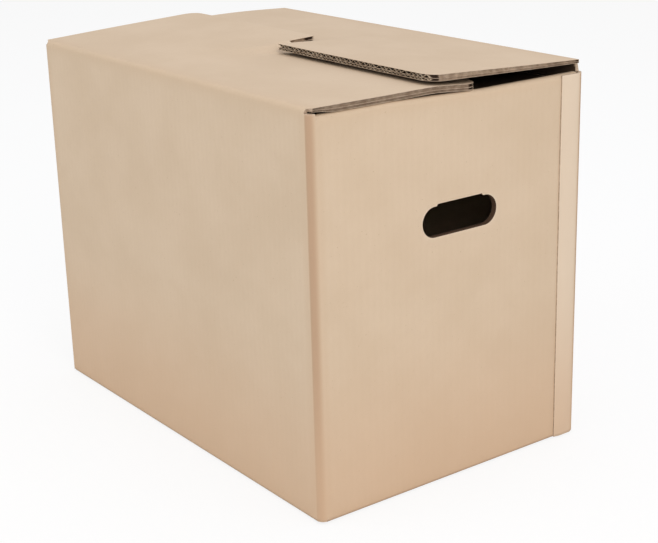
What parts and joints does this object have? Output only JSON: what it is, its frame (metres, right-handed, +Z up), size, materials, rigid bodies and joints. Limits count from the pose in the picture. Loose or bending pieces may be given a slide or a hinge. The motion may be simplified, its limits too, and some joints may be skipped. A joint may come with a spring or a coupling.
{
  "type": "moving box",
  "caption": "Closed rectangular moving box folded from one sheet of double-wall corrugated board, with slotted interlocking top flaps, hand holes in its ends and a glued seam.",
  "frame": {"origin": "on the floor, under the middle of the box", "axes": "+X along the length towards the end panel with the glued seam, +Y across towards the long panel that the seam comes from, +Z up"},
  "size_m": [0.5146, 0.336, 0.4115],
  "materials": {
    "kraft_board": "matt brown kraft liner with faint flute lines"
  },
  "bodies": {
    "root": {"carton_blank": "kraft_board"}
  },
  "joints": []
}
